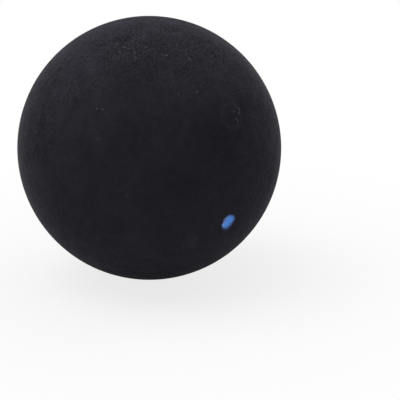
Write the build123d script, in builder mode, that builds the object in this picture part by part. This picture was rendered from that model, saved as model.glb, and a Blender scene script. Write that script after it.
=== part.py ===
from build123d import *
from math import cos, radians, sin, sqrt
import os

# Squash ball: two moulded rubber half shells, cemented rim to rim, with one dab of paint that marks its speed.
# The origin is the ball's centre and +Z is up. The moulding axis is Y, so the seam lies in the X-Z plane.
# The front half shell, towards -Y, carries the dot.

# Driving dimensions, in millimetres and degrees
BALL_DIAMETER = 40.0  # over the bonded and buffed ball
WALL_THICKNESS = 5.2  # rubber wall, which gives a ball of about 24 g
BOND_THICKNESS = 0.2  # cement line between the two rims
SEAM_BEVEL = 0.1  # outer edge of each rim, where the flash is buffed away
RIM_BEVEL = 0.8  # inner edge of each rim, which takes the squeezed-out cement
BEAD_CROWN = 0.5  # how far the squeezed-out cement bulges into the air chamber
DOT_DIAMETER = 2.4  # round dab of paint that marks the ball's speed
DOT_SEAT_DEPTH = 0.25  # shallow seat under the dab, below the ball's surface at its middle
DOT_CROWN = 0.22  # how far the dab stands proud of the ball's surface at its middle
DOT_LONGITUDE = 37.0  # from the front pole towards +X
DOT_LATITUDE = -20.8  # above the X-Y plane

# Radii and heights that follow from the driving dimensions
ball_radius = BALL_DIAMETER / 2
chamber_radius = ball_radius - WALL_THICKNESS
rim_height = BOND_THICKNESS / 2
seam_height = rim_height + SEAM_BEVEL
bead_height = rim_height + RIM_BEVEL
seam_edge_radius = sqrt(ball_radius**2 - seam_height**2)
rim_outer_radius = seam_edge_radius - SEAM_BEVEL
bead_edge_radius = sqrt(chamber_radius**2 - bead_height**2)
rim_inner_radius = bead_edge_radius + RIM_BEVEL
dot_radius = DOT_DIAMETER / 2
dot_edge_height = sqrt(ball_radius**2 - dot_radius**2)
dot_floor_height = ball_radius - DOT_SEAT_DEPTH

# The dot's axis runs out through its middle, and its section plane holds that axis as local Y
longitude = radians(DOT_LONGITUDE)
latitude = radians(DOT_LATITUDE)
dot_outward = Vector(cos(latitude) * sin(longitude), -cos(latitude) * cos(longitude), sin(latitude))
dot_sideways = Vector(cos(longitude), sin(longitude), 0)
dot_axis = Axis((0, 0, 0), dot_outward)
dot_plane = Plane(origin=(0, 0, 0), x_dir=dot_sideways, z_dir=dot_sideways.cross(dot_outward))

# Wall section of the front half: outer and inner arcs, the flat rim and the bevels at its two edges
with BuildSketch(Plane.XY) as wall_section:
    with BuildLine():
        Line((0, -chamber_radius), (0, -ball_radius))
        RadiusArc((0, -ball_radius), (seam_edge_radius, -seam_height), -ball_radius)
        Polyline(
            (seam_edge_radius, -seam_height),
            (rim_outer_radius, -rim_height),
            (rim_inner_radius, -rim_height),
            (bead_edge_radius, -bead_height),
        )
        RadiusArc((bead_edge_radius, -bead_height), (0, -chamber_radius), chamber_radius)
    make_face()

# Front half shell: the moulded wall, with a shallow round seat for the dab of paint
with BuildPart() as front_half_shell:
    revolve(wall_section.sketch, axis=Axis.Y)
    with BuildSketch(dot_plane) as seat_section:
        with Locations((dot_radius / 2, dot_floor_height + DOT_SEAT_DEPTH)):
            Rectangle(dot_radius, 2 * DOT_SEAT_DEPTH)
    revolve(axis=dot_axis, mode=Mode.SUBTRACT)
front_half_shell.part.label = "front_half_shell"

# Rear half shell: the same moulding, turned to face the front one
with BuildPart() as rear_half_shell:
    revolve(mirror(wall_section.sketch, about=Plane.XZ, mode=Mode.PRIVATE), axis=Axis.Y)
rear_half_shell.part.label = "rear_half_shell"

# Seam bond: the cured cement ring between the rims, with its bead in the two inner bevels
with BuildPart() as seam_bond:
    with BuildSketch(Plane.XY) as bond_section:
        with BuildLine():
            Polyline(
                (bead_edge_radius, -bead_height),
                (rim_inner_radius, -rim_height),
                (rim_outer_radius, -rim_height),
                (rim_outer_radius, rim_height),
                (rim_inner_radius, rim_height),
                (bead_edge_radius, bead_height),
            )
            ThreePointArc(
                (bead_edge_radius, bead_height),
                (bead_edge_radius - BEAD_CROWN, 0),
                (bead_edge_radius, -bead_height),
            )
        make_face()
    revolve(axis=Axis.Y)
seam_bond.part.label = "seam_bond"

# Speed dot: the dab of paint that fills its seat and stands a little proud, with a domed top
with BuildPart() as speed_dot:
    with BuildSketch(dot_plane) as dab_section:
        with BuildLine():
            Polyline(
                (0, ball_radius + DOT_CROWN),
                (0, dot_floor_height),
                (dot_radius, dot_floor_height),
                (dot_radius, dot_edge_height),
            )
            TangentArc((0, ball_radius + DOT_CROWN), (dot_radius, dot_edge_height), tangent=(1, 0))
        make_face()
    revolve(axis=dot_axis)
speed_dot.part.label = "speed_dot"

os.makedirs("parts", exist_ok=True)
for piece in (front_half_shell, rear_half_shell, seam_bond, speed_dot):
    export_step(piece.part, f"parts/{piece.part.label}.step")
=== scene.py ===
"""Squash ball: buffed rubber half shells, a dab of paint and a plain print, built on the CAD frame."""

import math
import random

import bpy
import numpy as np
from bpy.props import FloatProperty, FloatVectorProperty, IntProperty, PointerProperty
from mathutils import Matrix, Vector


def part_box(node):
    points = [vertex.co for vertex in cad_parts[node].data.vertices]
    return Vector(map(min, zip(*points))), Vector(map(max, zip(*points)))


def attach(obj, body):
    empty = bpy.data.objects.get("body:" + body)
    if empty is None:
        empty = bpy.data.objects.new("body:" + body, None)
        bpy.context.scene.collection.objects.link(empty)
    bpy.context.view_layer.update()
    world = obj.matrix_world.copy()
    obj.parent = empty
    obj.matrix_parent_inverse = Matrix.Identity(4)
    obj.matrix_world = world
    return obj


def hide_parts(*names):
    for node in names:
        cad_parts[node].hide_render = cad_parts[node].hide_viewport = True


bl_info = {
    "name": "Squash Ball",
    "version": (1, 0, 0),
    "blender": (4, 5, 0),
    "location": "3D View > Sidebar > Squash Ball",
    "description": "Dresses a squash ball's CAD frame with rubber, paint and print, and sets its studio",
    "category": "Object",
}

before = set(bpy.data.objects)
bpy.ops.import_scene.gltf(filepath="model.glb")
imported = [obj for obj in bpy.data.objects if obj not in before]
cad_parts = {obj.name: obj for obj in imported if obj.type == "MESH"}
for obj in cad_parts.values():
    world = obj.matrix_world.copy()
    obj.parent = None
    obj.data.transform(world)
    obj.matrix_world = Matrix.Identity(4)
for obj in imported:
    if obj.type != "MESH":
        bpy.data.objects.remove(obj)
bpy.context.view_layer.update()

MM = 0.001

# Sizes that come from the CAD frame, in metres
BALL_RADIUS = -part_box("front_half_shell")[0].y
RIM_HEIGHT = -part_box("front_half_shell")[1].y
RIM_OUTER_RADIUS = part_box("seam_bond")[1].x
BEAD_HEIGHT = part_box("seam_bond")[1].y
DOT_OUTWARD = sum(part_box("speed_dot"), Vector()).normalized()

FRONT, REAR = -1, 1  # the half shells' sides of the seam, along Y
OUTER_SKIN = "outer_skin"  # vertex group of the points on the ball's surface
DUST, BLOOM, COVER, RUBBED = "dust", "bloom", "cover", "rubbed"  # attributes that the materials read
MERGE_DISTANCE = 0.001 * MM


class RubberSettings(bpy.types.PropertyGroup):
    """Sizes and colours of the two rubber half shells."""

    wall: FloatProperty(
        name="Wall", description="Thickness of the rubber wall", default=5.2 * MM, unit="LENGTH", precision=5
    )
    seam_bevel: FloatProperty(
        name="Seam Bevel", description="Width of the buffed edge on each side of the seam",
        default=0.1 * MM, unit="LENGTH", precision=5,
    )
    bead_crown: FloatProperty(
        name="Bead Crown", description="How far the seam's cement bulges into the air chamber",
        default=0.5 * MM, unit="LENGTH", precision=5,
    )
    waviness: FloatProperty(
        name="Waviness", description="Depth of the uneven places that buffing leaves", default=0.03 * MM,
        unit="LENGTH", precision=6,
    )
    pits: IntProperty(name="Pits", description="Small pits scattered over each half", default=26, min=0)
    scratches: IntProperty(
        name="Scratches", description="Scratches scattered over each half", default=9, min=0
    )
    streaks: IntProperty(
        name="Streaks", description="Streaks scattered over the rear half", default=16, min=0
    )
    # Rubber and Bloom are also the ends that the painted shade at the foot and the painted light on top
    # blend between
    dark: FloatVectorProperty(
        name="Rubber", description="Colour of the bare rubber", default=(0.0131, 0.0121, 0.0169),
        subtype="COLOR",
    )
    pale: FloatVectorProperty(
        name="Bloom", description="Colour of the paler, bloomed patches",
        default=(0.0350, 0.0336, 0.0424), subtype="COLOR",
    )
    crumb: FloatVectorProperty(
        name="Crumbs", description="Colour of crumbs and wrinkles", default=(0.072, 0.070, 0.080),
        subtype="COLOR",
    )
    dust: FloatVectorProperty(
        name="Dust", description="Colour of dust in pits and scratches", default=(0.24, 0.24, 0.25),
        subtype="COLOR",
    )


class DotSettings(bpy.types.PropertyGroup):
    """Sizes and colours of the dab of paint that marks the ball's speed."""

    radius: FloatProperty(
        name="Radius", description="Middle of the dab to its edge", default=1.215 * MM, unit="LENGTH",
        precision=6,
    )
    crown: FloatProperty(
        name="Crown", description="How far the dab stands proud of the rubber", default=0.21 * MM,
        unit="LENGTH", precision=5,
    )
    seat_depth: FloatProperty(
        name="Seat Depth", description="Depth of the seat that the paint lies in", default=0.2 * MM,
        unit="LENGTH", precision=5,
    )
    paint: FloatVectorProperty(
        name="Paint", description="Colour of the paint", default=(0.100, 0.33, 0.98), subtype="COLOR"
    )
    # Paler paint for the rubbed upper-left rim, which also paints the highlight there
    rubbed_paint: FloatVectorProperty(
        name="Rubbed Paint", description="Colour of the paint on its rubbed side",
        default=(0.32, 0.44, 0.72), subtype="COLOR",
    )
    # The film runs widest on the lower right, where its dark colour is painted shade
    film: FloatVectorProperty(
        name="Film", description="Colour of the thin film round the dab",
        default=(0.005, 0.020, 0.080), subtype="COLOR",
    )


class PrintSettings(bpy.types.PropertyGroup):
    """Sizes, place and colour of the plain printed dashes on the rear half."""

    length: FloatProperty(
        name="Length", description="Length of the whole print", default=34 * MM, unit="LENGTH"
    )
    height: FloatProperty(
        name="Height", description="Height of the dashes", default=3.2 * MM, unit="LENGTH", precision=4
    )
    gap: FloatProperty(
        name="Gap", description="Space between dashes", default=1.1 * MM, unit="LENGTH", precision=4
    )
    latitude: FloatProperty(
        name="Latitude", description="Height of the print above the ball's middle",
        default=math.radians(22), subtype="ANGLE",
    )
    ink: FloatVectorProperty(
        name="Ink", description="Colour of the ink", default=(0.50, 0.52, 0.60), subtype="COLOR"
    )


class StageSettings(bpy.types.PropertyGroup):
    """Floor, sky and camera."""

    elevation: FloatProperty(
        name="Elevation", description="Camera's height angle", default=math.radians(15), subtype="ANGLE"
    )
    distance: FloatProperty(
        name="Distance", description="Camera to the ball's middle", default=228.3 * MM, unit="LENGTH",
        precision=4,
    )
    lens: FloatProperty(name="Lens", description="Focal length", default=135, unit="CAMERA")
    aim_right: FloatProperty(
        name="Aim Right", description="Camera's aim, right of the ball's middle", default=7.59 * MM,
        unit="LENGTH", precision=5,
    )
    aim_down: FloatProperty(
        name="Aim Down", description="Camera's aim, below the ball's middle", default=7.95 * MM,
        unit="LENGTH", precision=5,
    )
    floor: FloatVectorProperty(
        name="Floor", description="Colour of the floor", default=(0.80, 0.80, 0.80), subtype="COLOR"
    )
    sweep: FloatProperty(
        name="Sweep", description="Share of plain white in the floor round the ball", default=0.8, min=0,
        max=1,
    )
    sky: FloatProperty(
        name="Sky", description="Strength of the even light from all round", default=0.26, min=0
    )


class BallSettings(bpy.types.PropertyGroup):
    """All that a user would change on the ball and in its studio."""

    rubber: PointerProperty(type=RubberSettings)
    dot: PointerProperty(type=DotSettings)
    print: PointerProperty(type=PrintSettings)
    stage: PointerProperty(type=StageSettings)


def mode(name):
    """Puts the active piece in edit or object mode."""
    bpy.ops.object.mode_set(mode=name)


def clear_selection():
    """Deselects everything in object mode."""
    if bpy.context.mode != "OBJECT":
        mode("OBJECT")
    bpy.ops.object.select_all(action="DESELECT")


def make_active(piece):
    """Selects one piece alone and makes it the active one."""
    clear_selection()
    piece.select_set(True)
    bpy.context.view_layer.objects.active = piece


def edit_all():
    """Goes into edit mode with all of the active piece selected."""
    mode("EDIT")
    bpy.ops.mesh.select_all(action="SELECT")


def close_mesh():
    """Merges the active piece's doubles, turns its faces outwards and leaves edit mode."""
    bpy.ops.mesh.select_all(action="SELECT")
    bpy.ops.mesh.remove_doubles(threshold=MERGE_DISTANCE)
    bpy.ops.mesh.normals_make_consistent(inside=False)
    mode("OBJECT")


def apply_transform():
    """Makes the selected piece's place, turn and scale part of its mesh."""
    bpy.ops.object.transform_apply(location=True, rotation=True, scale=True)


def apply_modifier(piece, kind, **settings):
    """Adds one modifier to the active piece, sets it and applies it."""
    modifier = piece.modifiers.new(kind.title(), kind)
    for name, value in settings.items():
        setattr(modifier, name, value)
    bpy.ops.object.modifier_apply(modifier=modifier.name)


def cast_to_ball(piece, radius):
    """Moves all of the active piece's points out or in to a ball's surface."""
    apply_modifier(piece, "CAST", factor=1, size=radius, use_radius_as_size=False)


def quad_ball(radius, cuts, levels):
    """A ball of even four-sided faces, from a cube that is cut up, rounded and halved again."""
    clear_selection()
    bpy.ops.mesh.primitive_cube_add(size=2 * radius)
    ball = bpy.context.object
    edit_all()
    bpy.ops.mesh.subdivide(number_cuts=cuts)
    mode("OBJECT")
    cast_to_ball(ball, radius)
    apply_modifier(ball, "SUBSURF", levels=levels, render_levels=levels)
    cast_to_ball(ball, radius)
    return ball


def read_rows(items, name):
    """A vector of each of a mesh's points or faces, as the rows of an array."""
    rows = np.empty(3 * len(items))
    items.foreach_get(name, rows)
    return rows.reshape(-1, 3)


def set_points(piece, points):
    """Moves a piece's points to the rows of an array."""
    piece.data.vertices.foreach_set("co", points.ravel())
    piece.data.update()


def unit_rows(rows):
    """The rows of an array, each at a length of 1."""
    return rows / np.linalg.norm(rows, axis=1)[:, None]


def keep_attribute(piece, name, values):
    """Keeps one number for each of a piece's points, for its material to read."""
    piece.data.attributes.new(name, "FLOAT", "POINT").data.foreach_set("value", values)


def finish_piece(piece, name, material, slot, *nodes):
    """Names a piece, gives it its material, and lets it ride and stand for CAD nodes."""
    make_active(piece)
    apply_transform()
    piece.name = piece.data.name = name
    piece.data.materials.clear()
    piece.data.materials.append(material)
    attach(piece, "root")
    if nodes:
        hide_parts(*nodes)


def outward(longitude, latitude):
    """Unit vector to a place on the ball, in degrees from the front pole, to the right and up."""
    longitude, latitude = math.radians(longitude), math.radians(latitude)
    level = math.cos(latitude)
    return Vector((level * math.sin(longitude), -level * math.cos(longitude), math.sin(latitude)))


def along(place, heading):
    """Unit vector along the surface at a place, by heading in degrees from the right, turning up."""
    right = Vector((0, 0, 1)).cross(place).normalized()
    return Matrix.Rotation(math.radians(heading), 3, place) @ right


def line_distance(points, start, end):
    """Distance from each row of points to the line between two places."""
    start, line = np.array(start), np.array(end) - np.array(start)
    share = np.clip((points - start) @ line / (line @ line), 0, 1)
    return np.linalg.norm(points - start - share[:, None] * line, axis=1)


def lobe(angle, direction, width):
    """A share of 1 in one direction and 0 far from it. The angle is in radians, the rest in degrees."""
    off = (np.degrees(angle) - direction + 180) % 360 - 180
    return np.exp(-((off / width) ** 2))


class Pit:
    """A small round pit that holds dust."""

    DEPTH = 0.45  # of its radius
    LIP = 0.12  # height of the lip, of the pit's depth
    LIP_PLACE, LIP_WIDTH = 1.2, 0.25  # of its radius
    DUST_FILL = 1.4  # above 1, so that dust lies full over the pit's middle
    RADII = (0.09, 0.20)  # least and most of a scattered one, in mm
    AMOUNTS = (0.02, 0.16)  # of dust

    def __init__(self, middle, radius, dust):
        self.middle, self.radius, self.dust = middle, radius, dust

    def distance(self, ways):
        """Distance over the surface from the pit's middle to each unit vector in ways."""
        return BALL_RADIUS * np.arccos(np.clip(ways @ np.array(self.middle), -1, 1))

    def press(self, ways):
        """How far the pit moves each point outwards, and how much dust lies there."""
        share = self.distance(ways) / self.radius
        bowl = np.clip(1 - share**2, 0, 1) ** 2
        lip = np.exp(-(((share - self.LIP_PLACE) / self.LIP_WIDTH) ** 2))
        depth = self.DEPTH * self.radius
        return depth * (self.LIP * lip - bowl), self.dust * np.clip(self.DUST_FILL * bowl, 0, 1)


class Scratch:
    """A shallow scratch between two places on the ball."""

    DEPTH = 0.22  # of its half width
    LENGTHS = (0.04, 0.14)  # least and most of a scattered one, of the ball's radius
    WIDTHS = (0.08, 0.14)  # half widths, in mm
    AMOUNTS = (0.01, 0.04)  # of dust

    def __init__(self, start, end, radius, dust):
        self.start, self.end, self.radius, self.dust = start, end, radius, dust

    def distance(self, ways):
        """Distance from the scratch's line to each unit vector in ways."""
        return BALL_RADIUS * line_distance(ways, self.start, self.end)

    def press(self, ways):
        """The same for the scratch as for a pit."""
        groove = np.exp(-((self.distance(ways) / self.radius) ** 2))
        return -self.DEPTH * self.radius * groove, self.dust * groove


class Rub:
    """A dusty rub mark: a soft patch, or a soft ring where it has a ring's radius."""

    DEPTH = 0.012 * MM

    def __init__(self, middle, ring, width, dust):
        self.middle, self.ring, self.width, self.dust = middle, ring, width, dust
        self.radius = ring + width

    distance = Pit.distance

    def press(self, ways):
        """The same for the rub as for a pit."""
        share = np.exp(-(((self.distance(ways) - self.ring) / self.width) ** 2))
        return -self.DEPTH * share, self.dust * share


class Streak:
    """A broad soft streak between two places on the ball, where bloom is gained or rubbed away."""

    LENGTHS = (0.1, 0.5)  # least and most of a scattered one, of the ball's radius
    WIDTHS = (0.6, 1.5)  # half widths, in mm
    AMOUNTS = (-0.12, 0.1)  # of bloom that is gained

    def __init__(self, start, end, width, bloom):
        self.start, self.end, self.width, self.bloom = start, end, width, bloom

    distance = Scratch.distance

    def change(self, ways):
        """How much bloom each unit vector in ways gains or loses."""
        return self.bloom * np.exp(-((self.distance(ways) / self.width) ** 2))


class Dab:
    """The dab of paint: its edge on the ball, its height above the rubber and the seat below it."""

    EDGE_WAVES = (
        # direction from the right and width in degrees, and how far the edge comes in there, in mm
        (25, 55, 0.05),
        (112, 24, -0.08),
        (172, 15, 0.17),
        (235, 40, 0.09),
        (265, 25, -0.05),
        (318, 26, 0.24),
        (348, 16, 0.20),
    )
    EDGE_BLUR = 0.16  # share of the radius over which the paint gives way to its film
    FILM = 0.1 * MM  # how far a thin film runs out past the edge
    FILM_SMEAR = 0.28 * MM  # how much further it runs on the smeared side, where its dark colour is painted shade
    FILM_LOBE = (295, 65)  # the smeared side, the lower right that faces away from the lamps: direction and width in degrees
    SMEAR_LOBE = (232, 30)  # where the film still covers a little
    SMEAR_COVER = 1 / 3  # how well it covers there
    RUBBED_LOBE = (168, 75)  # the rubbed side, the upper-left rim, paler also as a painted highlight where it faces the lamps
    RUBBED_START, RUBBED_WIDTH = 0.5, 0.4  # of its rim, in shares of the radius
    THICK_LINE = ((-0.05, 0.35), (-0.55, -0.10))  # the thickest, brightest paint, right and up in shares
    FADE = 0.8  # how much less the paint covers far from that line, painted shade that darkens the dab towards its lower right
    FADE_START, FADE_WIDTH = 0.25, 0.65  # in shares
    EDGE_SUNK = 0.02 * MM  # below the ball's surface, so that the film's end meets the uneven rubber
    FILM_HEIGHT = 0.01 * MM  # above the ball's surface
    GAP = 0.01 * MM  # between the paint and its seat
    FALL = 0.6  # how the top falls to the edge: 0.5 is an ellipse, 1 is a parabola

    def __init__(self, settings):
        self.middle = DOT_OUTWARD
        self.right, self.up = along(self.middle, 0), along(self.middle, 90)
        self.inner, self.crown, self.seat_depth = settings.radius, settings.crown, settings.seat_depth
        self.radius = self.inner + self.FILM + self.FILM_SMEAR

    distance = Pit.distance

    def edge(self, angle):
        """Distance over the surface from the dab's middle to its edge, by direction in radians."""
        reach = np.full_like(angle, self.inner)
        for direction, width, inset in self.EDGE_WAVES:
            reach -= inset * MM * lobe(angle, direction, width)
        return reach

    def film_end(self, angle):
        """Distance over the surface from the dab's middle to the end of its film."""
        return self.edge(angle) + self.FILM + self.FILM_SMEAR * lobe(angle, *self.FILM_LOBE)

    def place(self, points):
        """Lays the points of a ball of radius 1 on the rubber, its lower half in the seat.

        Also gives how well the paint covers at each point, and how far it is rubbed, which is also a painted
        highlight on the upper-left rim.
        """
        angle = np.arctan2(points[:, 1], points[:, 0])
        reach = np.hypot(points[:, 0], points[:, 1]) * self.film_end(angle)
        share = reach / self.edge(angle)
        turn = reach / BALL_RADIUS
        sideways = np.outer(np.cos(angle), self.right) + np.outer(np.sin(angle), self.up)
        way = np.outer(np.cos(turn), self.middle) + np.sin(turn)[:, None] * sideways
        dome = np.where(points[:, 2] > 0, self.crown * np.clip(1 - share**2, 0, 1) ** self.FALL, 0)
        film = (self.EDGE_SUNK + self.FILM_HEIGHT) * np.sqrt(np.clip(points[:, 2], 0, 1))
        under = (self.seat_depth - self.EDGE_SUNK) * np.clip(points[:, 2], -1, 0)
        placed = way * (BALL_RADIUS - self.EDGE_SUNK + dome + film + under)[:, None]

        smeared = self.SMEAR_COVER * lobe(angle, *self.SMEAR_LOBE)
        # Thinner paint and a wider dark film on the lower right are painted shade on the side that faces
        # away from the lamps
        cover = np.clip((1 + self.EDGE_BLUR / 2 - share) / self.EDGE_BLUR, smeared, 1)
        flat = share[:, None] * np.stack((np.cos(angle), np.sin(angle)), axis=1)
        off = line_distance(flat, *self.THICK_LINE)
        cover *= 1 - self.FADE * np.clip((off - self.FADE_START) / self.FADE_WIDTH, 0, 1)
        # A paler upper-left rim: rubbed paint and a painted highlight where the edge faces the lamps
        rim = np.clip((share - self.RUBBED_START) / self.RUBBED_WIDTH, 0, 1)
        return placed, cover, rim * lobe(angle, *self.RUBBED_LOBE)

    def press(self, ways):
        """How far the seat moves each point outwards. No dust lies in it."""
        angle = np.arctan2(ways @ np.array(self.up), ways @ np.array(self.right))
        share = self.distance(ways) / self.film_end(angle)
        under = (self.seat_depth - self.EDGE_SUNK) * np.sqrt(np.clip(1 - share**2, 0, 1))
        return -np.where(share < 1, self.EDGE_SUNK + self.GAP + under, 0), 0 * share


# Marks on the front half. Longitude and latitude are in degrees from its pole, to the right and up
FRONT_PITS = (
    # longitude, latitude, radius in mm, dust from 0 to 1
    (-25, 30, 0.12, 1.00),
    (-22, 30, 0.12, 1.00),
    (-60, 42, 0.20, 1.00),
    (60, 0, 0.16, 0.45),
)
FRONT_SCUFFS = (
    # longitude, latitude, reach in mm or 0 for one place, number of short scratches, dust from 0 to 1
    (29, 53, 0.0, 1, 0.60),
    (13, 56, 0.0, 1, 0.45),
    (25, 37, 0.0, 1, 0.45),
    (45, 25, 1.2, 5, 0.40),
    (-15, 60, 3.5, 10, 0.30),
    (-20, 20, 1.0, 1, 0.25),
    (-10, -5, 2.0, 3, 0.12),
    (20, -28, 1.5, 4, 0.15),
)
SCUFF_LENGTHS = (0.3, 0.7)  # least and most of a short scratch, in mm
SCUFF_WIDTH = 0.08 * MM  # middle to side
FRONT_RUBS = (
    # longitude, latitude, radius of a ring or 0 for a patch, half width in mm, dust from 0 to 1
    (40, 25, 1.8, 0.3, 0.034),
    (20, -28, 0.0, 1.1, 0.048),
    (-20, 60, 0.0, 1.6, 0.022),
    (10, 57, 0.0, 1.8, 0.016),
    (-10, 5, 1.6, 0.3, 0.016),
)
FRONT_STREAKS = (
    # longitude and latitude of the start and of the end, half width in mm, bloom that is gained or lost
    ((-30, 40), (-40, 25), 0.7, -0.20),
    ((-20, 35), (-35, 25), 0.6, 0.10),
    ((0, 50), (0, 45), 0.7, -0.12),
    ((-50, 30), (-50, 5), 1.2, -0.12),
    ((10, 60), (25, 65), 1.0, -0.15),
    ((50, 35), (50, 25), 0.8, -0.12),
    ((30, 35), (35, 5), 1.3, -0.09),
    ((5, 5), (20, 0), 1.3, -0.07),
    ((-25, 15), (-25, -15), 1.1, -0.10),
    ((-10, 5), (-5, -30), 1.3, 0.08),
    ((-40, 10), (-35, -5), 1.1, 0.08),
    ((-45, 50), (-35, 45), 0.8, 0.14),
    ((0, 75), (-15, 55), 0.9, 0.14),
    # The last, broad row is painted shade: it darkens the upper front right of the middle, which the
    # overhead lamps light only at a slant
    ((0, 20), (30, 20), 7.0, -0.19),
)

# Marks that are scattered by a seeded draw, the same ones each time
FRONT_SEED, SCUFF_SEED, REAR_SEED, STREAK_SEED = 11, 7, 23, 5
SCATTER_LONGITUDES, SCATTER_LATITUDES = (-80, 80), (-75, 80)  # degrees from the half's own pole


def scattered_place(draw, side):
    """A random place on one half, as a unit vector."""
    place = outward(draw.uniform(*SCATTER_LONGITUDES), draw.uniform(*SCATTER_LATITUDES))
    place.y *= -side
    return place


def scattered_marks(draw, side, settings):
    """Pits and scratches at random places on one half."""
    marks = []
    for _ in range(settings.pits):
        place = scattered_place(draw, side)
        marks.append(Pit(place, draw.uniform(*Pit.RADII) * MM, draw.uniform(*Pit.AMOUNTS)))
    return marks + scattered_lines(Scratch, settings.scratches, draw, side)


def scattered_lines(kind, count, draw, side):
    """Scratches or streaks at random places on one half."""
    lines = []
    for _ in range(count):
        start = scattered_place(draw, side)
        way = along(start, draw.uniform(0, 180))
        end = (start + way * draw.uniform(*kind.LENGTHS)).normalized()
        lines.append(kind(start, end, draw.uniform(*kind.WIDTHS) * MM, draw.uniform(*kind.AMOUNTS)))
    return lines


def scuffed_marks(draw):
    """Short scratches where the front half is scuffed."""
    marks = []
    for x, z, reach, count, dust in FRONT_SCUFFS:
        for _ in range(count):
            middle = outward(x, z)
            middle += along(middle, draw.uniform(0, 360)) * draw.uniform(0, reach) * MM / BALL_RADIUS
            middle.normalize()
            way = along(middle, draw.uniform(0, 180))
            half = way * draw.uniform(*SCUFF_LENGTHS) * MM / 2 / BALL_RADIUS
            marks.append(Scratch(middle - half, middle + half, SCUFF_WIDTH, dust))
    return marks


def front_marks(ball):
    """All that is pressed into the front half: its own marks, scattered ones and the dab's seat."""
    marks = [Pit(outward(x, z), radius * MM, dust) for x, z, radius, dust in FRONT_PITS]
    for x, z, ring, width, dust in FRONT_RUBS:
        marks.append(Rub(outward(x, z), ring * MM, width * MM, dust))
    marks += scuffed_marks(random.Random(SCUFF_SEED))
    marks += scattered_marks(random.Random(FRONT_SEED), FRONT, ball.rubber)
    return marks + [Dab(ball.dot)]


def front_streaks():
    """The front half's own streaks."""
    return [
        Streak(outward(*start), outward(*end), width * MM, bloom)
        for start, end, width, bloom in FRONT_STREAKS
    ]


MARK_MARGIN = 0.3 * MM  # fine mesh round each mark
MARK_CUTS = 3  # how much finer it is
CUBE_CUTS, SKIN_LEVELS = 3, 5  # the skin is a cube of 4 squares a side, halved 5 times
WALL_RINGS = 12  # rings of faces on the chamber's wall
SKIN_DEPTH = 0.05 * MM  # the skin's points are this near to the ball's surface
WAVE_LENGTHS = (1.1 * MM, 3.2 * MM)
WAVE_DETAIL = 2
SMOOTH_ANGLE = math.radians(40)  # edges sharper than this stay sharp


def bead_edge_radius(settings):
    """Radius at which the cement's bead meets the chamber's wall."""
    return math.sqrt((BALL_RADIUS - settings.wall) ** 2 - BEAD_HEIGHT**2)


def draw_profile(start, profile, side):
    """Extrudes the selected ring of edges through radii and heights, along Y to one side."""
    radius, height = start
    for next_radius, next_height in profile:
        step = side * (next_height - height)
        bpy.ops.mesh.extrude_edges_move(TRANSFORM_OT_translate={"value": (0, step, 0)})
        growth = next_radius / radius
        bpy.ops.transform.resize(value=(growth, 1, growth), center_override=(0, 0, 0))
        radius, height = next_radius, next_height


def cut_in_half(side, seam_height):
    """Keeps one half of the active ball, drawn back from the seam by the height of its bevel."""
    edit_all()
    bpy.ops.mesh.bisect(plane_co=(0, 0, 0), plane_no=(0, -side, 0), clear_outer=True)
    bpy.ops.mesh.select_all(action="SELECT")
    bpy.ops.transform.resize(value=(1, 1 - seam_height / BALL_RADIUS, 1), center_override=(0, 0, 0))
    bpy.ops.transform.translate(value=(0, side * seam_height, 0))
    mode("OBJECT")


def refine_marks(shell, marks):
    """Makes the active shell's mesh finer where a mark will be pressed in."""
    mode("EDIT")
    bpy.ops.mesh.select_mode(type="FACE")
    bpy.ops.mesh.select_all(action="DESELECT")
    mode("OBJECT")
    faces = shell.data.polygons
    ways = unit_rows(read_rows(faces, "center"))
    chosen = np.zeros(len(faces), bool)
    for mark in marks:
        chosen |= mark.distance(ways) < mark.radius + MARK_MARGIN
    faces.foreach_set("select", chosen)
    mode("EDIT")
    bpy.ops.mesh.subdivide(number_cuts=MARK_CUTS)
    bpy.ops.mesh.select_all(action="DESELECT")
    bpy.ops.mesh.select_face_by_sides(number=4, type="GREATER")
    bpy.ops.mesh.quads_convert_to_tris()
    mode("OBJECT")
    cast_to_ball(shell, BALL_RADIUS)


def draw_inside(side, seam_height, settings):
    """Draws the active shell's cut edge in over the rim and its bevels, and up the chamber's wall."""
    chamber_radius = BALL_RADIUS - settings.wall
    edge_radius = bead_edge_radius(settings)
    profile = [
        (RIM_OUTER_RADIUS, RIM_HEIGHT),
        (edge_radius + BEAD_HEIGHT - RIM_HEIGHT, RIM_HEIGHT),
        (edge_radius, BEAD_HEIGHT),
    ]
    first_angle = math.asin(BEAD_HEIGHT / chamber_radius)
    for ring in range(1, WALL_RINGS + 1):
        angle = first_angle + (math.pi / 2 - first_angle) * ring / WALL_RINGS
        profile.append((chamber_radius * math.cos(angle), chamber_radius * math.sin(angle)))
    mode("EDIT")
    bpy.ops.mesh.select_mode(type="EDGE")
    bpy.ops.mesh.select_all(action="DESELECT")
    bpy.ops.mesh.select_non_manifold(
        use_wire=False, use_multi_face=False, use_non_contiguous=False, use_verts=False
    )
    draw_profile((math.sqrt(BALL_RADIUS**2 - seam_height**2), seam_height), profile, side)
    close_mesh()


def buff_skin(shell, on_skin, settings):
    """Uneven places from buffing, on the active shell's outer skin alone."""
    skin = shell.vertex_groups.new(name=OUTER_SKIN)
    skin.add(np.flatnonzero(on_skin).tolist(), 1.0, "REPLACE")
    for length in WAVE_LENGTHS:
        waves = bpy.data.textures.new("buffing_waves", "CLOUDS")
        waves.noise_scale = length
        waves.noise_depth = WAVE_DETAIL
        apply_modifier(
            shell, "DISPLACE", texture=waves, texture_coords="LOCAL", mid_level=1,
            strength=settings.waviness / len(WAVE_LENGTHS), vertex_group=OUTER_SKIN,
        )


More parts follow.
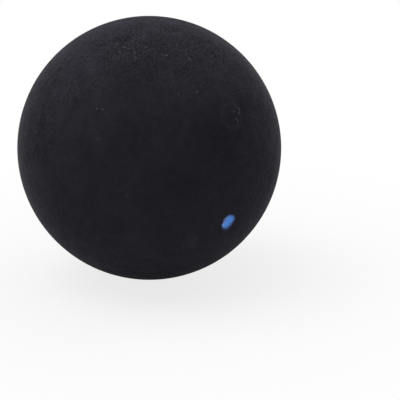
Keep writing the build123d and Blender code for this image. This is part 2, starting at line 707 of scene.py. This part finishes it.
def press_marks(shell, on_skin, marks, streaks):
    """Presses the marks in, and keeps where dust and bloom lie for the rubber's material."""
    points = read_rows(shell.data.vertices, "co")
    ways = unit_rows(points[on_skin])
    moves, dust, bloom = np.zeros(len(ways)), np.zeros(len(points)), np.zeros(len(points))
    # Streaks of bloom, and one broad painted shade on the front
    for streak in streaks:
        bloom[on_skin] += streak.change(ways)
    for mark in marks:
        move, held = mark.press(ways)
        moves += move
        dust[on_skin] = np.maximum(dust[on_skin], held)
    points[on_skin] += moves[:, None] * ways
    set_points(shell, points)
    keep_attribute(shell, DUST, dust)
    keep_attribute(shell, BLOOM, bloom)


def half_shell(side, marks, streaks, settings):
    """One rubber half: a fine outer skin with its marks, the bevelled rim and the chamber's wall."""
    seam_height = RIM_HEIGHT + settings.seam_bevel
    shell = quad_ball(BALL_RADIUS, CUBE_CUTS, SKIN_LEVELS)
    cut_in_half(side, seam_height)
    refine_marks(shell, marks)
    draw_inside(side, seam_height, settings)
    on_skin = np.linalg.norm(read_rows(shell.data.vertices, "co"), axis=1) > BALL_RADIUS - SKIN_DEPTH
    buff_skin(shell, on_skin, settings)
    press_marks(shell, on_skin, marks, streaks)
    bpy.ops.object.shade_smooth_by_angle(angle=SMOOTH_ANGLE)
    return shell


class SQUASHBALL_OT_half_shells(bpy.types.Operator):
    """Builds the front and rear rubber half shells"""

    bl_idname = "squash_ball.half_shells"
    bl_label = "Half Shells"

    def execute(self, context):
        ball = context.scene.squash_ball
        settings = ball.rubber
        rubber = rubber_material(settings)
        front = half_shell(FRONT, front_marks(ball), front_streaks(), settings)
        finish_piece(front, "front_half_rubber", rubber, "shell_rubber", "front_half_shell")
        marks = scattered_marks(random.Random(REAR_SEED), REAR, settings)
        streaks = scattered_lines(Streak, settings.streaks, random.Random(STREAK_SEED), REAR)
        rear = half_shell(REAR, marks, streaks, settings)
        finish_piece(rear, "rear_half_rubber", rubber, "shell_rubber", "rear_half_shell")
        return {"FINISHED"}


RING_POINTS = 256  # round the cement ring
BEAD_STEPS = 8  # over half of its bead
CEMENT_FILL = 0.06 * MM  # how far the cement fills the groove that the seam's bevels leave
CEMENT_DIP = 0.012 * MM  # how far it dips along its middle
CEMENT_GAP = 0.002 * MM  # between the cement and the rubber


class SQUASHBALL_OT_seam_bond(bpy.types.Operator):
    """Builds the cement ring between the half shells"""

    bl_idname = "squash_ball.seam_bond"
    bl_label = "Seam Bond"

    def execute(self, context):
        settings = context.scene.squash_ball.rubber
        edge_radius = bead_edge_radius(settings)
        rim = RIM_HEIGHT - CEMENT_GAP
        half = [
            (RIM_OUTER_RADIUS + CEMENT_FILL - CEMENT_DIP, 0),
            (RIM_OUTER_RADIUS + CEMENT_FILL, rim + CEMENT_FILL),
            (RIM_OUTER_RADIUS, rim),
            (edge_radius + BEAD_HEIGHT - RIM_HEIGHT, rim),
        ]
        for step in range(BEAD_STEPS + 1):
            turn = math.pi / 2 * step / BEAD_STEPS
            height = (BEAD_HEIGHT - CEMENT_GAP) * math.cos(turn)
            half.append((edge_radius - settings.bead_crown * math.sin(turn), height))
        profile = half + [(radius, -height) for radius, height in reversed(half[1:-1])] + half[:1]

        clear_selection()
        bpy.ops.mesh.primitive_circle_add(
            vertices=RING_POINTS, radius=profile[0][0], fill_type="NOTHING", rotation=(math.pi / 2, 0, 0)
        )
        ring = bpy.context.object
        apply_transform()
        mode("EDIT")
        bpy.ops.mesh.select_mode(type="EDGE")
        bpy.ops.mesh.select_all(action="SELECT")
        draw_profile(profile[0], profile[1:], REAR)
        close_mesh()
        bpy.ops.object.shade_smooth_by_angle(angle=SMOOTH_ANGLE)
        finish_piece(ring, "seam_cement", cement_material(settings), "bond_cement", "seam_bond")
        return {"FINISHED"}


DAB_CUTS, DAB_LEVELS = 1, 5  # the dab is a cube of 2 squares a side, halved 5 times


class SQUASHBALL_OT_speed_dot(bpy.types.Operator):
    """Builds the dab of paint in its seat"""

    bl_idname = "squash_ball.speed_dot"
    bl_label = "Speed Dot"

    def execute(self, context):
        settings = context.scene.squash_ball.dot
        paint = quad_ball(1, DAB_CUTS, DAB_LEVELS)
        # The rubbed share also places the painted highlight on the dab's upper-left rim
        points, cover, rubbed = Dab(settings).place(read_rows(paint.data.vertices, "co"))
        set_points(paint, points)
        keep_attribute(paint, COVER, cover)
        keep_attribute(paint, RUBBED, rubbed)
        bpy.ops.object.shade_smooth()
        finish_piece(paint, "speed_dot_paint", paint_material(settings), "dot_paint", "speed_dot")
        return {"FINISHED"}


INK_PROUD = 0.03 * MM  # above the ball's surface
INK_SUNK = 0.06 * MM  # below it, so that the film meets the uneven rubber all over
INK_STEP = 0.5 * MM  # between the cuts that let a dash bend round the ball
INK_CORNER, INK_CORNER_STEPS = 0.3, 6  # radius of a dash's corners, in shares of its height
INK_SMOOTH_ANGLE = math.radians(30)
DASH_SHARES = (0.08, 0.17, 0.5, 0.17, 0.08)  # of the print's length, less its gaps


def print_bar(start, end, low, high):
    """One flat bar of ink with round corners, cut up so that it can bend."""
    clear_selection()
    bpy.ops.mesh.primitive_plane_add(size=1, location=((start + end) / 2, (low + high) / 2, 0))
    bar = bpy.context.object
    bar.scale = (end - start, high - low, 1)
    apply_transform()
    edit_all()
    bpy.ops.mesh.bevel(offset=INK_CORNER * (high - low), segments=INK_CORNER_STEPS, affect="VERTICES")
    for across, first, last in ((Vector((1, 0, 0)), start, end), (Vector((0, 1, 0)), low, high)):
        cuts = max(2, round((last - first) / INK_STEP))
        for number in range(1, cuts):
            bpy.ops.mesh.select_all(action="SELECT")
            place = across * (first + (last - first) * number / cuts)
            bpy.ops.mesh.bisect(plane_co=place, plane_no=across, threshold=MERGE_DISTANCE)
    mode("OBJECT")
    return bar


class SQUASHBALL_OT_print(bpy.types.Operator):
    """Builds the plain printed dashes on the rear half"""

    bl_idname = "squash_ball.plain_print"
    bl_label = "Plain Print"

    def execute(self, context):
        settings = context.scene.squash_ball.print
        inked = settings.length - settings.gap * (len(DASH_SHARES) - 1)
        bars, start = [], -settings.length / 2
        for share in DASH_SHARES:
            end = start + share * inked
            bars.append(print_bar(start, end, -settings.height / 2, settings.height / 2))
            start = end + settings.gap
        clear_selection()
        for bar in bars:
            bar.select_set(True)
        ink = bpy.context.view_layer.objects.active = bars[0]
        bpy.ops.object.join()
        apply_modifier(ink, "SOLIDIFY", thickness=INK_PROUD + INK_SUNK, offset=1)
        apply_modifier(ink, "BEVEL", width=INK_PROUD / 2, segments=2, limit_method="ANGLE")

        # Wrap the flat print round the ball, its middle on the rear
        points = read_rows(ink.data.vertices, "co")
        turn = points[:, 0] / (BALL_RADIUS * math.cos(settings.latitude))
        up = settings.latitude + points[:, 1] / BALL_RADIUS
        out = BALL_RADIUS - INK_SUNK + points[:, 2]
        level = np.cos(up)
        ways = np.stack((-np.sin(turn) * level, np.cos(turn) * level, np.sin(up)), axis=1)
        set_points(ink, ways * out[:, None])
        mode("EDIT")
        close_mesh()
        bpy.ops.object.shade_smooth_by_angle(angle=INK_SMOOTH_ANGLE)
        finish_piece(ink, "plain_print_ink", ink_material(settings), "print_ink")
        return {"FINISHED"}


MIX_SHARE, MIX_FIRST, MIX_SECOND, MIX_RESULT = 0, 6, 7, 2  # sockets of a Mix node that mixes colours


def new_material(name):
    """A new node material, as itself, its tree and its Principled shader."""
    material = bpy.data.materials.new(name)
    material.use_nodes = True
    return material, material.node_tree, material.node_tree.nodes["Principled BSDF"]


def add(tree, kind, inputs=None, **settings):
    """Adds a node, sets it, and sets or links its inputs by name or number."""
    node = tree.nodes.new("ShaderNode" + kind)
    for name, value in settings.items():
        setattr(node, name, value)
    for name, value in (inputs or {}).items():
        if isinstance(value, bpy.types.NodeSocket):
            tree.links.new(value, node.inputs[name])
        else:
            node.inputs[name].default_value = value
    return node


def millimetres(tree, scale=(1, 1, 1)):
    """Object coordinates in millimetres, stretched by scale."""
    place = add(tree, "TexCoord").outputs["Object"]
    scaled = tuple(share / MM for share in scale)
    return add(tree, "VectorMath", {0: place, 1: scaled}, operation="MULTIPLY").outputs[0]


def noise(tree, place, per_mm, detail, roughness):
    """Noise of so many lumps a millimetre."""
    inputs = {"Vector": place, "Scale": per_mm, "Detail": detail, "Roughness": roughness}
    return add(tree, "TexNoise", inputs).outputs["Fac"]


def spread(tree, value, low, high, to_low=0.0, to_high=1.0, curve="LINEAR"):
    """Maps low..high to to_low..to_high, held at both ends."""
    inputs = {"Value": value, "From Min": low, "From Max": high, "To Min": to_low, "To Max": to_high}
    return add(tree, "MapRange", inputs, interpolation_type=curve).outputs["Result"]


def blend(tree, share, first, second):
    """Mixes two colours by share, also past them where the share is below 0 or above 1."""
    inputs = {MIX_SHARE: share}
    for socket, value in ((MIX_FIRST, first), (MIX_SECOND, second)):
        inputs[socket] = value if isinstance(value, bpy.types.NodeSocket) else (*value, 1)
    return add(tree, "Mix", inputs, data_type="RGBA", clamp_factor=False).outputs[MIX_RESULT]


def combine(tree, operation, first, second):
    """A Math node on two values."""
    return add(tree, "Math", {0: first, 1: second}, operation=operation).outputs[0]


def product(tree, first, *others):
    """All the values multiplied."""
    for value in others:
        first = combine(tree, "MULTIPLY", first, value)
    return first


def attribute(tree, name):
    """A number that the piece keeps for each point."""
    return add(tree, "Attribute", attribute_name=name).outputs["Fac"]


def bump(tree, height, distance, normal=None):
    """A Bump node of so many millimetres, on top of another one if given."""
    inputs = {"Height": height, "Distance": distance * MM}
    if normal is not None:
        inputs["Normal"] = normal
    return add(tree, "Bump", inputs).outputs["Normal"]


def finish_shader(tree, shader, colour, roughness, normal, constants):
    """Links a shader's colour, roughness and normal, and sets its constants by name."""
    for name, socket in (("Base Color", colour), ("Roughness", roughness), ("Normal", normal)):
        tree.links.new(socket, shader.inputs[name])
    for name, value in constants.items():
        shader.inputs[name].default_value = value


MOST_NOISE, WIDE_NOISE = (0.35, 0.65), (0.3, 0.7)  # where most of a noise's values lie, and nearly all
UPPER, UPPER_BLOOM = (-2, 19), (0.60, 0.80)  # heights in mm between which the rubber grows paler, painted light from above on top of its bloom, and its amount
UNDER, UNDER_LOSS = (-18, -15), 0.6  # heights in mm between which the painted shade at the ball's foot ends, and how much paleness it takes away
LUMPS = {
    # lumps a millimetre, detail and roughness of each noise on the rubber
    "patches": (0.16, 3, 0.6),
    "clouds": (0.5, 3, 0.6),
    "mottle": (1.3, 2, 0.6),
    "grain": (2.8, 2, 0.7),
    "grit": (5.5, 1, 0.5),
    "folds": (0.85, 2, 0.5),
    "breaks": (0.6, 2, 0.5),
}
# Painted light: the lumps' contrast grows away from the front and towards the top, for how grazing light
# picks out the grain
BLOOM_LAYERS = (
    # lumps with their weights, contrast at the front and away from it, contrast low and high
    ((("patches", 0.07), ("clouds", 0.06), ("mottle", 0.04)), (0.8, 1.8), (1.5, 1.6)),
    ((("grain", 0.075), ("grit", 0.22)), (0.32, 1.55), (1.2, 2.2)),
)
AWAY = (-19.5, -6)  # Y in mm between which contrast changes, painting how grazing light picks out the grain away from the front
HIGH = (0.6, 1)  # share of the upper part between which it changes, painting the same towards the top
BLOOM_LIMITS = (-0.3, 1.8)
CRUMB_CELLS = 1.5  # a millimetre
CRUMB_EDGE = (0.1, 0.22)  # a crumb's edge, in cells from the cell's point
CRUMB_CELL_VALUES = (0.75, 0.9)  # random value of a cell with no crumb, and with a full one
WRINKLE_EDGE = (0.004, 0.018)  # a wrinkle's edge, from the noise's middle level
WRINKLE_BREAKS = (0.54, 0.66)  # noise where wrinkles begin, and where they are full
RAISED_COLOUR = 0.6  # share of the crumbs' colour on crumbs and wrinkles
DUST_GRIT, DUST_LEAST = (0.4, 0.58), 0.2  # grit that holds the least dust and all of it
RUBBER_BUMPS = (("mottle", 0.06), ("grain", 0.08), ("grit", 0.03))  # heights in mm
RAISED_BUMP = 0.03  # height of crumbs and wrinkles in mm


def rubber_bloom(tree, axes, upper, lumps):
    """How pale the rubber is: paler on top as painted light from above, darker at its foot as painted shade,
    and streaked and lumpy with bloom.
    """
    # Painted light: paler towards the top, where the lamps shine down
    bloom = spread(tree, upper, 0, 1, *UPPER_BLOOM)
    # Painted shade: darker at the foot, where the ball sits in its own shadow
    bloom = combine(tree, "SUBTRACT", bloom, spread(tree, axes["Z"], *UNDER, UNDER_LOSS, 0))
    bloom = combine(tree, "ADD", bloom, attribute(tree, BLOOM))
    for layers, away, high in BLOOM_LAYERS:
        contrast = spread(tree, axes["Y"], *AWAY, *away, "SMOOTHSTEP")
        contrast = product(tree, contrast, spread(tree, upper, *HIGH, *high))
        for name, weight in layers:
            layer = spread(tree, lumps[name], *MOST_NOISE, -weight, weight)
            bloom = combine(tree, "ADD", bloom, product(tree, layer, contrast))
    return spread(tree, bloom, *BLOOM_LIMITS, *BLOOM_LIMITS)


def rubber_crumbs(tree, place, upper):
    """Crumbs of rubber that buffing leaves: small specks in some cells."""
    cells = add(tree, "TexVoronoi", {"Vector": place, "Scale": CRUMB_CELLS}).outputs
    speck = spread(tree, cells["Distance"], *CRUMB_EDGE, 1, 0)
    cell_value = add(tree, "SeparateColor", {0: cells["Color"]}).outputs[0]
    return product(tree, speck, spread(tree, cell_value, *CRUMB_CELL_VALUES), upper)


def rubber_wrinkles(tree, lumps, upper):
    """Wrinkles: thin lines along a noise's middle level, broken up by a second noise."""
    level = combine(tree, "SUBTRACT", lumps["folds"], 0.5)
    from_level = add(tree, "Math", {0: level}, operation="ABSOLUTE").outputs[0]
    thin = spread(tree, from_level, *WRINKLE_EDGE, 1, 0)
    return product(tree, thin, spread(tree, lumps["breaks"], *WRINKLE_BREAKS), upper)


def rubber_material(settings):
    """Matt black rubber with pale bloom, painted light on top and painted shade at its foot, buffing grain,
    crumbs and wrinkles, and dust in its marks.
    """
    material, tree, shader = new_material("buffed_rubber")
    place = millimetres(tree)
    lumps = {name: noise(tree, place, *values) for name, values in LUMPS.items()}
    axes = add(tree, "SeparateXYZ", {0: place}).outputs
    upper = spread(tree, axes["Z"], *UPPER, curve="SMOOTHSTEP")
    colour = blend(tree, rubber_bloom(tree, axes, upper, lumps), settings.dark, settings.pale)
    crumbs = rubber_crumbs(tree, place, upper)
    raised = combine(tree, "MAXIMUM", crumbs, rubber_wrinkles(tree, lumps, upper))
    colour = blend(tree, product(tree, raised, RAISED_COLOUR), colour, settings.crumb)

    # Dust lies unevenly in the marks
    uneven = spread(tree, lumps["grit"], *DUST_GRIT, DUST_LEAST, 1)
    colour = blend(tree, product(tree, attribute(tree, DUST), uneven), colour, settings.dust)

    roughness = spread(tree, lumps["grain"], *WIDE_NOISE, 0.88, 1.0)
    normal = None
    for name, height in RUBBER_BUMPS:
        normal = bump(tree, lumps[name], height, normal)
    normal = bump(tree, raised, RAISED_BUMP, normal)
    constants = {
        "Specular IOR Level": 0.01,
        "Diffuse Roughness": 0.4,
        "Sheen Weight": 0.112,
        "Sheen Tint": (0.94, 0.91, 1.0, 1),
        "Sheen Roughness": 0.3,
    }
    finish_shader(tree, shader, colour, roughness, normal, constants)
    return material


def cement_material(settings):
    """Cured cement: dull and dark, with patches, a fine crust and painted light that makes it paler towards
    the top.
    """
    material, tree, shader = new_material("cured_cement")
    place = millimetres(tree)
    # Painted light: paler towards the top, as on the rubber
    upper = spread(tree, add(tree, "SeparateXYZ", {0: place}).outputs["Z"], *UPPER, 0, 0.25)
    patches = noise(tree, place, 0.8, 4, 0.6)
    crust = noise(tree, place, 7, 4, 0.7)
    bloom = combine(tree, "ADD", spread(tree, patches, *MOST_NOISE, 0.3, 0.55), upper)
    colour = blend(tree, bloom, settings.dark, settings.pale)
    roughness = spread(tree, crust, *WIDE_NOISE, 0.8, 1.0)
    finish_shader(tree, shader, colour, roughness, bump(tree, crust, 0.03), {"Specular IOR Level": 0.05})
    return material


def paint_material(settings):
    """Dabbed-on paint with a soft gloss: blue, paler where rubbed and where a highlight is painted on its
    upper-left rim, in a thin dark film that also paints shade on its lower right.
    """
    material, tree, shader = new_material("dot_paint")
    place = millimetres(tree)
    thin = noise(tree, place, 2.2, 3, 0.55)
    fine = noise(tree, place, 6, 3, 0.6)
    # Paler where rubbed, also a painted highlight on the upper-left rim
    rubbed = product(tree, attribute(tree, RUBBED), spread(tree, thin, 0.35, 0.6, 0.3, 1))
    colour = blend(tree, rubbed, settings.paint, settings.rubbed_paint)
    ragged = combine(tree, "ADD", attribute(tree, COVER), spread(tree, fine, *WIDE_NOISE, -0.2, 0.2))
    colour = blend(tree, spread(tree, ragged, 0.05, 0.95), settings.film, colour)
    roughness = spread(tree, fine, *WIDE_NOISE, 0.45, 0.6)
    finish_shader(tree, shader, colour, roughness, bump(tree, thin, 0.03), {"Specular IOR Level": 0.1})
    return material


THIN_INK = 0.55  # share of the ink's colour where it is thin
PINHOLE_COLOUR = (0.02, 0.02, 0.024)


def ink_material(settings):
    """Screen-printed ink: off-white, mottled by the rubber below, with pinholes."""
    material, tree, shader = new_material("print_ink")
    place = millimetres(tree)
    mottle = noise(tree, place, 1.6, 4, 0.65)
    pinholes = noise(tree, place, 5.5, 2, 0.5)
    thin = tuple(THIN_INK * share for share in settings.ink)
    colour = blend(tree, spread(tree, mottle, 0.52, 0.78), settings.ink, thin)
    colour = blend(tree, spread(tree, pinholes, 0.68, 0.74), colour, PINHOLE_COLOUR)
    roughness = spread(tree, mottle, *WIDE_NOISE, 0.5, 0.68)
    normal = bump(tree, pinholes, 0.02)
    finish_shader(tree, shader, colour, roughness, normal, {"Specular IOR Level": 0.3})
    return material


def seen_rays(tree):
    """1 for a ray from the camera, off gloss or through glass, and 0 for any other."""
    ray = add(tree, "LightPath").outputs
    seen = combine(tree, "MAXIMUM", ray["Is Camera Ray"], ray["Is Glossy Ray"])
    return combine(tree, "MAXIMUM", seen, ray["Is Transmission Ray"])


FLOOR_RADIUS, FLOOR_POINTS = 1.6, 96
FIBRE_SHADE = 0.985  # share of the floor's colour on its darker fibres
SHADOW_REACH = (20, 80)  # in mm from the ball's foot, over which its shadow fades
WHITE = (1, 1, 1, 1)
LAMPS = (
    # name, place in metres, side in metres, power in watts
    ("overhead_softbox", (0.0, 0.0, 0.65), 0.70, 1.94),
    ("upper_left_softbox", (-0.30, 0.0, 0.55), 0.50, 1.98),
    ("back_softbox", (0.0, 0.70, 0.25), 0.60, 1.07),
    ("back_right_softbox", (0.50, 0.50, 0.30), 0.50, 1.10),
)
NEAREST_SEEN = 0.01  # camera's near limit in metres


def floor_material(settings):
    """Smooth pale paper that turns into the white sweep of a studio."""
    material, tree, shader = new_material("pale_floor")
    fibres = noise(tree, millimetres(tree), 0.5, 3, 0.5)
    darker = tuple(FIBRE_SHADE * share for share in settings.floor)
    tree.links.new(blend(tree, fibres, settings.floor, darker), shader.inputs["Base Color"])
    shader.inputs["Roughness"].default_value = 0.9
    shader.inputs["Specular IOR Level"].default_value = 0.1

    # The camera, gloss and glass see the sweep, with the ball's shadow still on it
    white = add(tree, "Emission", {"Color": WHITE, "Strength": 1.0}).outputs[0]
    flat = millimetres(tree, (1, 1, 0))
    away = add(tree, "VectorMath", {0: flat}, operation="LENGTH").outputs["Value"]
    plain = spread(tree, away, *SHADOW_REACH, settings.sweep, 1, "SMOOTHSTEP")
    share = product(tree, seen_rays(tree), plain)
    sweep = add(tree, "MixShader", {0: share, 1: shader.outputs[0], 2: white}).outputs[0]
    tree.links.new(sweep, tree.nodes["Material Output"].inputs["Surface"])
    return material


def add_lamp(name, place, side, power):
    """A square soft lamp that faces the ball."""
    clear_selection()
    bpy.ops.object.light_add(type="AREA", location=place)
    lamp = bpy.context.object
    lamp.name = lamp.data.name = name
    lamp.data.size = side
    lamp.data.energy = power
    lamp.rotation_euler = (-Vector(place)).to_track_quat("-Z", "Y").to_euler()


def set_sky(scene, strength):
    """Even light from all round, seen as plain white."""
    world = scene.world or bpy.data.worlds.new("studio")
    scene.world = world
    world.use_nodes = True
    tree = world.node_tree
    even = tree.nodes["Background"]
    even.inputs["Color"].default_value = WHITE
    even.inputs["Strength"].default_value = strength
    white = add(tree, "Background", {"Color": WHITE, "Strength": 1.0}).outputs[0]
    shown = add(tree, "MixShader", {0: seen_rays(tree), 1: even.outputs[0], 2: white}).outputs[0]
    tree.links.new(shown, tree.nodes["World Output"].inputs["Surface"])


class SQUASHBALL_OT_stage(bpy.types.Operator):
    """Sets the pale floor, the soft lamps, the even sky and the camera"""

    bl_idname = "squash_ball.stage"
    bl_label = "Stage"

    def execute(self, context):
        scene = context.scene
        settings = scene.squash_ball.stage
        clear_selection()
        bpy.ops.mesh.primitive_circle_add(
            vertices=FLOOR_POINTS, radius=FLOOR_RADIUS, fill_type="NGON", location=(0, 0, -BALL_RADIUS)
        )
        floor = bpy.context.object
        floor.name = "floor"
        apply_transform()
        floor.data.materials.append(floor_material(settings))
        for lamp in LAMPS:
            add_lamp(*lamp)
        set_sky(scene, settings.sky)
        scene.view_settings.view_transform = "Standard"

        back = Vector((0, -math.cos(settings.elevation), math.sin(settings.elevation)))
        up = Vector((0, math.sin(settings.elevation), math.cos(settings.elevation)))
        aim = Vector((settings.aim_right, 0, 0)) - up * settings.aim_down
        place = back * settings.distance
        turn = (aim - place).to_track_quat("-Z", "Y").to_euler()
        clear_selection()
        bpy.ops.object.camera_add(location=place, rotation=turn)
        camera = bpy.context.object
        camera.data.lens = settings.lens
        camera.data.clip_start = NEAREST_SEEN
        scene.camera = camera
        return {"FINISHED"}


class SQUASHBALL_PT_sidebar(bpy.types.Panel):
    """Lists the ball's settings and its build steps"""

    bl_idname = "SQUASHBALL_PT_sidebar"
    bl_label = "Squash Ball"
    bl_space_type = "VIEW_3D"
    bl_region_type = "UI"
    bl_category = "Squash Ball"

    def draw(self, context):
        ball = context.scene.squash_ball
        for group in (ball.rubber, ball.dot, ball.print, ball.stage):
            box = self.layout.box()
            for name in group.__annotations__:
                box.prop(group, name)
        for step in BUILD_STEPS:
            self.layout.operator(step.bl_idname)


BUILD_STEPS = (
    SQUASHBALL_OT_half_shells,
    SQUASHBALL_OT_seam_bond,
    SQUASHBALL_OT_speed_dot,
    SQUASHBALL_OT_print,
    SQUASHBALL_OT_stage,
)
SETTINGS = (RubberSettings, DotSettings, PrintSettings, StageSettings, BallSettings)
CLASSES = (*SETTINGS, *BUILD_STEPS, SQUASHBALL_PT_sidebar)


def register():
    """Registers the classes and the scene's settings."""
    for item in CLASSES:
        bpy.utils.register_class(item)
    bpy.types.Scene.squash_ball = PointerProperty(type=BallSettings)


def unregister():
    """Removes the scene's settings and the classes."""
    del bpy.types.Scene.squash_ball
    for item in reversed(CLASSES):
        bpy.utils.unregister_class(item)


def main():
    """Builds the ball and its studio."""
    register()
    bpy.ops.squash_ball.half_shells()
    bpy.ops.squash_ball.seam_bond()
    bpy.ops.squash_ball.speed_dot()
    bpy.ops.squash_ball.plain_print()
    bpy.ops.squash_ball.stage()


if __name__ == "__main__":
    main()
